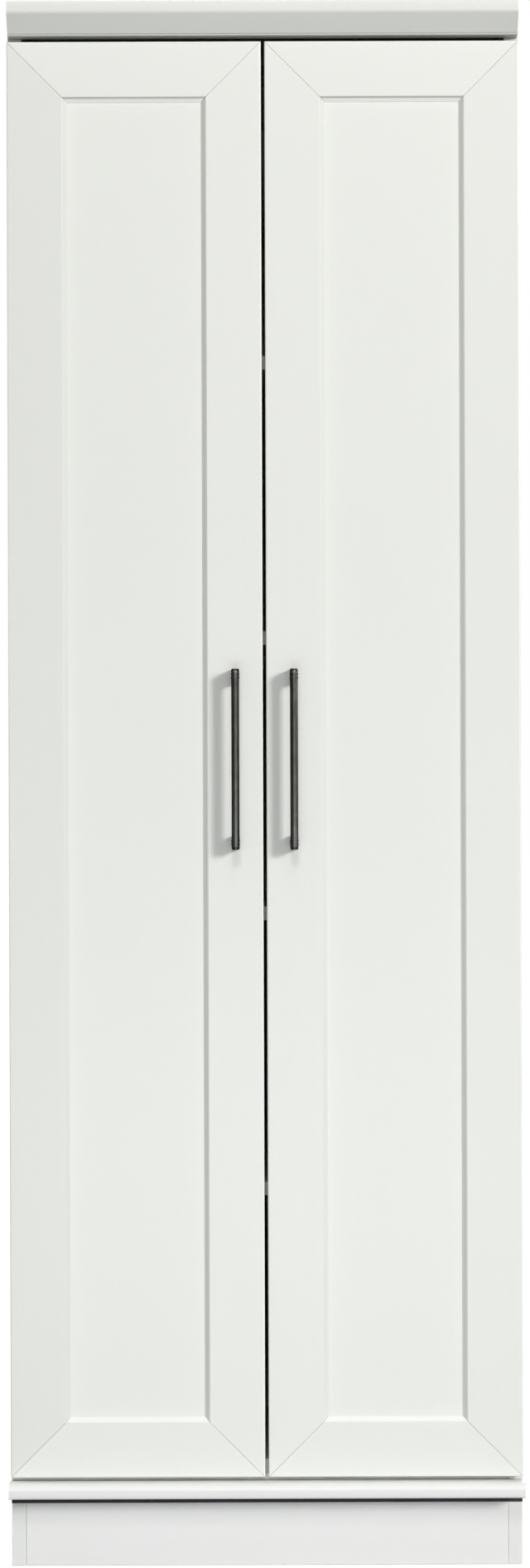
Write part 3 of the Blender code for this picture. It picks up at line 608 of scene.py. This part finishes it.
def fittings(name, mesh, places, material, body, slot, *replaced):
    # one piece that holds a copy of the mesh at each place
    work = bmesh.new()
    for place in places:
        copy = mesh.copy()
        copy.transform(place)
        work.from_mesh(copy)
        bpy.data.meshes.remove(copy)
    bmesh.ops.recalc_face_normals(work, faces=work.faces)
    together = bpy.data.meshes.new(name)
    work.to_mesh(together)
    work.free()
    newPiece(name, together, material, body, slot, *replaced)


def domed(look):
    # a low round fitting, from its profile in shares of its radius and height
    profile = [(look["radius"] * across, look["height"] * up) for across, up in look["profile"]]
    return turned(profile, look["sides"])


def prism(outline, low, high, rounding=0.0, steps=1):
    # an outline of (y, z) points drawn out along X, its edges rounded
    work = bmesh.new()
    ends = [[work.verts.new((x, y, z)) for y, z in outline] for x in (low, high)]
    work.faces.new(ends[0])
    work.faces.new(list(reversed(ends[1])))
    for k in range(len(outline)):
        n = (k + 1) % len(outline)
        work.faces.new((ends[0][n], ends[0][k], ends[1][k], ends[1][n]))
    bmesh.ops.recalc_face_normals(work, faces=work.faces)
    mesh = bpy.data.meshes.new("prism")
    work.to_mesh(mesh)
    work.free()
    return edgesRounded(mesh, rounding, steps) if rounding else mesh


def bend(centre, radii, start, end, steps):
    # points on a quarter of an ellipse in the (y, z) plane, angles in degrees
    angles = [math.radians(start + (end - start) * k / steps) for k in range(steps + 1)]
    return [(centre[0] + radii[0] * math.cos(a), centre[1] + radii[1] * math.sin(a)) for a in angles]


# the crown strip: an upright band, soft edges, and a slope that runs back under it to a narrow lip
crown = {"topDrop": 0.0010, "bandHeight": 0.0135, "lipHeight": 0.0020, "lipBehindBand": 0.0197,
         "topRound": 0.0020, "bandRound": 0.0060, "lipRound": 0.0010, "steps": 6}


def rounded(corners, radii, steps):
    # an outline whose corners are turned into arcs
    points = []
    for k, radius in enumerate(radii):
        here, before, after = (Vector(corners[i % len(corners)]) for i in (k, k - 1, k + 1))
        if not radius:
            points.append(tuple(here))
            continue
        back, on = (before - here).normalized(), (after - here).normalized()
        half = back.angle(on) / 2
        centre = here + (back + on).normalized() * (radius / math.sin(half))
        start, end = here + back * (radius / math.tan(half)), here + on * (radius / math.tan(half))
        first, last = start - centre, end - centre
        turn = first.angle_signed(last)
        points += [tuple(centre + Matrix.Rotation(-turn * s / steps, 2) @ first) for s in range(steps + 1)]
    return points


low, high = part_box("crown_moulding")
crownTop = high.z - crown["topDrop"]
bandLow, lipFront = crownTop - crown["bandHeight"], low.y + crown["lipBehindBand"]
crownOutline = rounded(
    [(high.y, low.z), (lipFront, low.z), (lipFront, low.z + crown["lipHeight"]), (low.y, bandLow),
     (low.y, crownTop), (high.y, crownTop)],
    [0, crown["lipRound"], 0, crown["bandRound"], crown["topRound"], 0], crown["steps"])
crownCoat = nodes["crown_moulding"].material_slots[0].material
newPiece("crown_strip", prism(crownOutline, low.x, high.x), crownCoat, "cabinet", "front_lacquer",
         "crown_moulding")
print("crown done")


# the base strip: a shallow rebate under the doors, a round nose that falls almost plumb, a soft lower edge
baseStrip = {"noseLength": 0.012, "noseRise": 0.0075, "noseSteps": 8, "lean": 0.0016, "raised": 0.0051,
             "lowerRound": 0.0022, "lowerSteps": 4, "rebateDepth": 0.0022, "rebateFront": 0.0250}
low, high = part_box("base_moulding")
stripLow = low.z + baseStrip["raised"]
upper = high.z - baseStrip["noseRise"]
toe = low.y + baseStrip["lean"]
rebateFront, rebateFloor = low.y + baseStrip["rebateFront"], high.z - baseStrip["rebateDepth"]
nose, lowerRound = (baseStrip["noseLength"], baseStrip["noseRise"]), baseStrip["lowerRound"]
stripOutline = [(high.y, stripLow), (high.y, rebateFloor), (rebateFront, rebateFloor),
                (rebateFront, high.z)]
stripOutline += bend((low.y + baseStrip["noseLength"], upper), nose, 90, 180, baseStrip["noseSteps"])
stripOutline += bend((toe + lowerRound, stripLow + lowerRound), (lowerRound, lowerRound), 180, 270,
                     baseStrip["lowerSteps"])
baseCoat = nodes["base_moulding"].material_slots[0].material
newPiece("base_strip", prism(stripOutline, low.x, high.x), baseCoat, "cabinet", "front_lacquer",
         "base_moulding")

# the dark line right under it: a near-black strip on the toe board that stands in for the shadow under the
# base strip, a painted shadow
shadowStrip = {"drop": 0.0108, "thickness": 0.0012, "inset": 0.0012, "gap": 0.00015,
        "colour": (0.020, 0.020, 0.022), "fleckColour": (0.045, 0.044, 0.042),
        "flecks": {"Scale": 900, "Detail": 3.0, "Roughness": 0.6}, "fleckLevels": (0.45, 0.62),
        "sheen": {"Specular IOR Level": 0.3}, "roughness": 0.75, "fleckGloss": 0.1, "fleckHeight": 0.00004}


# the near-black finish of the strip that stands in for the painted shadow
def shadowStripFinish(name):
    finish = Finish(name, shadowStrip["sheen"])
    place = finish.place()
    flecks = finish.noise(place, shadowStrip["flecks"])
    colour = finish.mix(finish.ease(flecks, *shadowStrip["fleckLevels"]), shadowStrip["colour"], shadowStrip["fleckColour"])
    roughness = shadowStrip["roughness"] + shadowStrip["fleckGloss"] * (flecks - 0.5)
    return finish.done(colour, roughness, flecks, shadowStrip["fleckHeight"])


# the strip sits just under the base strip, where there is only shade
shadowStripTop, shadowStripLow = stripLow - shadowStrip["gap"], stripLow - shadowStrip["drop"]
shadowStripBack = high.y + shadowStrip["gap"]
shadowStripFront = shadowStripBack - shadowStrip["thickness"]
shadowStripOutline = [(shadowStripBack, shadowStripLow), (shadowStripFront, shadowStripLow), (shadowStripFront, shadowStripTop), (shadowStripBack, shadowStripTop)]
newPiece("base_shadow_strip", prism(shadowStripOutline, cadLow.x + shadowStrip["inset"], cadHigh.x - shadowStrip["inset"]),
         shadowStripFinish("shadow_strip_black"), "cabinet", "front_lacquer")
print("base strip done")


# the bow handles: eased edges, two thin collars at each end, and painted shade that makes the sides darker
# than the front
bow = {"barThickness": 0.008, "postHeight": 0.016, "cornerRadius": 0.005, "innerRadius": 0.003,
       "edgeRounding": 0.0014, "steps": 4,
       # painted light and shade: a dark band down each bar's left side, a darker right edge, and each
       # hand's copy made lighter or darker
       "leftDark": 0.16, "leftBand": (0.0031, 0.0043),
       "rightDark": {"left": 0.14, "right": 0.45}, "rightBand": (0.0016, 0.0034),
       "shade": {"left": 1.02, "right": 0.94},
       "collarHeight": 0.0016, "collarProud": 0.0006, "collarFromEnd": (0.0065, 0.0105),
       "collarRounding": 0.000672, "collarSteps": 3}


def bowOutline(low, high):
    corner, inner = bow["cornerRadius"], bow["innerRadius"]
    inside = low.y + bow["barThickness"]
    lowPost, highPost = low.z + bow["postHeight"], high.z - bow["postHeight"]
    points = [(high.y, low.z)]
    points += bend((low.y + corner, low.z + corner), (corner, corner), 270, 180, bow["steps"])
    points += bend((low.y + corner, high.z - corner), (corner, corner), 180, 90, bow["steps"])
    points += [(high.y, high.z), (high.y, highPost)]
    points += bend((inside + inner, highPost - inner), (inner, inner), 90, 180, bow["steps"])
    points += bend((inside + inner, lowPost + inner), (inner, inner), 180, 270, bow["steps"])
    points += [(high.y, lowPost)]
    return points


def paintedHandleShade(hand, low, high):
    # a function that paints shade: the share of light that each side of the bar keeps
    def darkened(finish, place):
        across = finish.axes(place)[0]
        left = finish.ease(across - low.x, *bow["leftBand"], bow["leftDark"], 1.0)
        right = finish.ease(high.x - across, *bow["rightBand"], bow["rightDark"][hand], 1.0)
        return left * right * bow["shade"][hand]

    return darkened


def collarRings(low, high):
    proud, thickness = bow["collarProud"], bow["barThickness"]
    size = Matrix.Diagonal((high.x - low.x + 2 * proud, thickness + proud, bow["collarHeight"], 1.0))
    heights = [low.z + fromEnd for fromEnd in bow["collarFromEnd"]]
    heights += [high.z - fromEnd for fromEnd in bow["collarFromEnd"]]
    rings = bmesh.new()
    for height in heights:
        centre = Matrix.Translation(((low.x + high.x) / 2, low.y + thickness / 2, height))
        bmesh.ops.create_cube(rings, size=1.0, matrix=centre @ size)
    mesh = bpy.data.meshes.new("collars")
    rings.to_mesh(mesh)
    rings.free()
    return edgesRounded(mesh, bow["collarRounding"], bow["collarSteps"])


for hand in hands:
    low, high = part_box(f"{hand}_handle")
    handleMetal = metalFinish(f"{hand}_handle_gunmetal", gunmetal, paintedHandleShade(hand, low, high))
    nodes[f"{hand}_handle"].material_slots[0].material = handleMetal
    shape = prism(bowOutline(low, high), low.x, high.x, bow["edgeRounding"], bow["steps"])
    newPiece(f"{hand}_bow_handle", shape, handleMetal, f"{hand}_door", "handle_metal", f"{hand}_handle")
    newPiece(f"{hand}_handle_collars", collarRings(low, high), handleMetal, f"{hand}_door", "handle_metal")
print("handles done")


# screws of the hinges: two in each plate, two in each cup's wings, two that adjust each arm
panProfile = ((0, 1), (0.45, 0.96), (0.78, 0.74), (0.95, 0.40), (1, 0), (0.9, -0.3), (0, -0.3))
woodScrew = {"radius": 0.0035, "height": 0.0011, "sides": 24, "profile": panProfile,
             "driver": {"reach": 0.0042, "width": 0.0009, "depth": 0.0008}}
armScrew = {"radius": 0.0030, "height": 0.0008, "sides": 24, "profile": panProfile,
            "driver": {"reach": 0.0040, "width": 0.0009, "depth": 0.0006}}
hingeScrews = {"plateSpread": 0.0165, "plateFromTail": 0.017, "plateGap": 0.0003, "plateThickness": 0.003,
               "wingSpread": 0.0215, "armFromTail": (0.0075, 0.043), "barBehindEye": 0.0061}
woodHead, armHead = (crossCut(domed(screw), screw["height"], screw["driver"])
                     for screw in (woodScrew, armScrew))
dice = random.Random(11)
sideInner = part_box("right_side")[0].x
plateFace = sideInner - hingeScrews["plateGap"] - hingeScrews["plateThickness"]
for hand, side in hands.items():
    onPlates, onArms, onDoor = [], [], []
    for place in hingePlaces:
        armLow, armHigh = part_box(f"{hand}_{place}_hinge_arm")
        cupLow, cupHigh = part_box(f"{hand}_{place}_hinge_cup")
        height = (armLow.z + armHigh.z) / 2
        barFace = min(abs(armLow.x), abs(armHigh.x)) + hingeScrews["barBehindEye"]
        for way in (-1, 1):
            onPlate = height + way * hingeScrews["plateSpread"]
            point = (side * plateFace, armHigh.y - hingeScrews["plateFromTail"], onPlate)
            onPlates.append(facing(point, (-side, 0, 0), dice.uniform(0, math.pi)))
            point = ((cupLow.x + cupHigh.x) / 2, cupHigh.y, height + way * hingeScrews["wingSpread"])
            onDoor.append(facing(point, (0, 1, 0), dice.uniform(0, math.pi)))
        for fromTail in hingeScrews["armFromTail"]:
            point = (side * barFace, armHigh.y - fromTail, height)
            onArms.append(facing(point, (-side, 0, 0), dice.uniform(0, math.pi)))
    fittings(f"{hand}_plate_screws", woodHead, onPlates, screwMetal, "cabinet", "nickel")
    fittings(f"{hand}_arm_screws", armHead, onArms, screwMetal, "cabinet", "nickel")
    fittings(f"{hand}_cup_screws", woodHead, onDoor, screwMetal, f"{hand}_door", "nickel")
print("hinge screws in")


# the handle screws again, with a cross in each head
handleDriver = {"reach": 0.0052, "width": 0.0011, "depth": 0.0012}
for hand in hands:
    for place in ("lower", "upper"):
        name = f"{hand}_handle_{place}_screw"
        low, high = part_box(name)
        middle = (low + high) / 2
        onHead = facing((middle.x, high.y, middle.z), (0, 1, 0), dice.uniform(0, math.pi))
        shape = nodes[name].data.copy()
        shape.transform(onHead.inverted())
        fittings(f"{name}_cut", crossCut(shape, 0.0, handleDriver), [onHead], screwMetal,
                 f"{hand}_door", "nickel", name)
print("handle screws in")


# caps over the cam fittings, under the fixed boards and at the top of the sides
cap = {"radius": 0.0085, "height": 0.0010, "sides": 32,
       "profile": ((0, 0.8), (0.30, 0.8), (0.36, 1), (0.84, 1), (0.96, 0.7), (1, 0), (0, 0)),
       "fromSide": 0.024, "fromFront": 0.050, "fromRear": 0.064}
capPlaces = []
for name in ("shelf_2", "bottom_panel"):
    low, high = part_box(name)
    for x in (low.x + cap["fromSide"], high.x - cap["fromSide"]):
        for y in (low.y + cap["fromFront"], high.y - cap["fromRear"]):
            capPlaces.append(facing((x, y, low.z), (0, 0, -1)))
for hand, side in hands.items():
    low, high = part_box(f"{hand}_side")
    for y in (low.y + cap["fromFront"], high.y - cap["fromRear"]):
        capPlaces.append(facing((side * sideInner, y, high.z - cap["fromSide"]), (-side, 0, 0)))
fittings("cam_caps", domed(cap), capPlaces, whitePlastic, "cabinet", "carcass_board")
print("cam caps on:", len(capPlaces))


# the nails that hold the back on
nail = {"radius": 0.0028, "height": 0.0006, "sides": 14,
        "profile": ((0, 1), (0.6, 0.85), (0.92, 0.45), (1, 0), (0, 0)),
        "pitch": 0.125, "inset": 0.008, "stray": 0.002}
backLow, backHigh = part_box("back_panel")
columns = [backLow.x + nail["inset"], backHigh.x - nail["inset"]]
lowest, highest = backLow.z + nail["inset"], backHigh.z - nail["inset"]
bottomMiddle, shelfMiddle = (sum(corner.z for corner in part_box(name)) / 2
                             for name in ("bottom_panel", "shelf_2"))
upCount = round((highest - lowest) / nail["pitch"])
acrossCount = round((columns[1] - columns[0]) / nail["pitch"])
nailSpots = [(x, lowest + (highest - lowest) * k / upCount) for x in columns for k in range(upCount)]
nailSpots += [(columns[0] + (columns[1] - columns[0]) * k / acrossCount, z)
              for z in (bottomMiddle, shelfMiddle, highest) for k in range(1, acrossCount)]
nailSpots += [(x, highest) for x in columns]
stray = nail["stray"]
nailPoints = [(x + dice.uniform(-stray, stray), backHigh.y, z + dice.uniform(-stray, stray))
              for x, z in nailSpots]
nailPlaces = [facing(point, (0, 1, 0)) for point in nailPoints]
fittings("back_nails", domed(nail), nailPlaces, screwMetal, "cabinet", "nickel")
print("back nailed on:", len(nailPlaces))


# soft bumpers on the backs of the doors, which meet the bottom panel and the front of each side's top
bumper = {"radius": 0.0048, "height": 0.0016, "sides": 28,
          "profile": ((0, 1), (0.35, 0.95), (0.68, 0.72), (0.90, 0.38), (1, 0), (0, 0)),
          "fromMiddle": 0.020, "fromTop": 0.022}
sideMiddle = sum(corner.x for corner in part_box("right_side")) / 2
for hand, side in hands.items():
    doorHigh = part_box(f"{hand}_door_outer_stile")[1]
    spots = [(side * bumper["fromMiddle"], bottomMiddle),
             (side * sideMiddle, doorHigh.z - bumper["fromTop"])]
    places = [facing((x, doorHigh.y, z), (0, 1, 0)) for x, z in spots]
    fittings(f"{hand}_bumpers", domed(bumper), places, softRubber, f"{hand}_door", "carcass_board")
print("door bumpers on")


# floor, backdrop and light: powers in watts, lengths in metres
studio = {"floorColour": (0.24, 0.24, 0.235), "sheen": {"Specular IOR Level": 0.1}, "floorRoughness": 0.9,
          "grain": {"Scale": 2.0, "Detail": 2.0}, "grainShade": 0.01, "grainGloss": 0.02,
          "floorSize": 80.0, "whiteShare": 0.75, "whiteStrength": 1.35,
          "ambientColour": (1.0, 0.975, 0.930), "ambientStrength": 0.165}
lamps = {
    "key": {"place": (6.02, -7.62, 3.49), "aim": (0.0, -0.19, 0.93), "size": (2.0, 2.0), "power": 602.0,
            "colour": (1.0, 1.0, 1.0)},
    "highFar": {"place": (-0.4, -8.5, 7.2), "aim": (0.0, 0.0, 0.9), "size": (1.6, 2.4), "power": 205.0,
                "colour": (1.0, 1.0, 1.0)},
    "lowNear": {"place": (-0.05, -2.0, 0.22), "aim": (0.0, 0.0, 0.2), "size": (1.2, 0.3), "power": 7.3,
                "colour": (0.88, 0.94, 1.0)},
    "highNear": {"place": (0.25, -1.7, 2.9), "aim": (0.1, -0.19, 1.7), "size": (0.6, 0.4), "power": 4.9,
                 "colour": (1.0, 1.0, 1.0)},
    "above": {"place": (0.0, 0.3, 4.4), "aim": (0.0, 0.0, 0.9), "size": (1.6, 1.6), "power": 30.0,
              "colour": (1.0, 1.0, 1.0)},
    "leftFill": {"place": (-4.2, 1.4, 1.9), "aim": (-0.3, 0.0, 0.9), "size": (1.6, 1.6), "power": 80.0,
                 "colour": (1.0, 1.0, 1.0)},
    "rearFill": {"place": (1.8, 5.0, 2.4), "aim": (0.0, 0.2, 0.9), "size": (2.0, 2.0), "power": 150.0,
                 "colour": (1.0, 1.0, 1.0)},
}


def seenDirectly(mixture):
    # camera, mirror and see-through rays, which show the white backdrop
    rays = mixture.node("ShaderNodeLightPath").socket.node.outputs
    kinds = ("Camera", "Glossy", "Transmission")
    camera, mirror, through = (Value(mixture, rays[f"Is {kind} Ray"]) for kind in kinds)
    return mixture.most(mixture.most(camera, mirror), through)


def makeWorld():
    world = bpy.data.worlds.new("studio")
    bpy.context.scene.world = world
    world.use_nodes = True
    world.node_tree.nodes.clear()
    sky = Mixture(world.node_tree)
    ambient = sky.node("ShaderNodeBackground", None,
                       {"Color": (*studio["ambientColour"], 1.0), "Strength": studio["ambientStrength"]})
    white = sky.node("ShaderNodeBackground", None, {"Color": (1.0, 1.0, 1.0, 1.0), "Strength": 1.0})
    mixed = sky.node("ShaderNodeMixShader", None, {0: seenDirectly(sky), 1: ambient, 2: white})
    sky.node("ShaderNodeOutputWorld", None, {0: mixed})


def makeFloor():
    finish = Finish("studio_floor", studio["sheen"])
    grain = finish.noise(finish.place(), studio["grain"])
    finish.done(finish.shaded(studio["floorColour"], 1 + studio["grainShade"] * (grain - 0.5)),
                studio["floorRoughness"] + studio["grainGloss"] * (grain - 0.5))
    glow = finish.node("ShaderNodeEmission", None, {"Strength": studio["whiteStrength"]})
    own = Value(finish, finish.shader.outputs[0])
    mixed = finish.node("ShaderNodeMixShader", None,
                        {0: seenDirectly(finish) * studio["whiteShare"], 1: own, 2: glow})
    finish.tree.links.new(mixed.socket, finish.tree.nodes["Material Output"].inputs[0])
    half = studio["floorSize"] / 2
    mesh = bpy.data.meshes.new("floor")
    corners = [(-half, -half, 0), (half, -half, 0), (half, half, 0), (-half, half, 0)]
    mesh.from_pydata(corners, [], [(0, 1, 2, 3)])
    mesh.materials.append(finish.material)
    floor = bpy.data.objects.new("floor", mesh)
    bpy.context.scene.collection.objects.link(floor)


def makeLamps():
    for name, lamp in lamps.items():
        data = bpy.data.lights.new(name, "AREA")
        data.shape = "RECTANGLE"
        data.size, data.size_y = lamp["size"]
        data.energy = lamp["power"]
        data.color = lamp["colour"]
        light = bpy.data.objects.new(name, data)
        bpy.context.scene.collection.objects.link(light)
        light.location = lamp["place"]
        aim = Vector(lamp["aim"]) - light.location
        light.rotation_euler = aim.to_track_quat("-Z", "Y").to_euler()


makeWorld()
makeFloor()
makeLamps()
print("studio lit")


# the camera looks squarely at the doors and is rolled a little, as the photograph is
camera = {"distance": 4.5, "height": 0.9055, "sideways": 0.0002, "rollDegrees": 0.19, "focalLength": 89.50,
          "sensorSize": 36.0}
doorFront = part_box("left_door_inner_stile")[0].y
cameraData = bpy.data.cameras.new("camera")
cameraData.sensor_width = camera["sensorSize"]
cameraData.lens = camera["focalLength"]
cameraObject = bpy.data.objects.new("camera", cameraData)
bpy.context.scene.collection.objects.link(cameraObject)
cameraObject.location = (camera["sideways"], doorFront - camera["distance"], camera["height"])
cameraObject.rotation_euler = (math.pi / 2, math.radians(camera["rollDegrees"]), 0)
bpy.context.scene.camera = cameraObject
bpy.context.scene.view_settings.view_transform = "Standard"
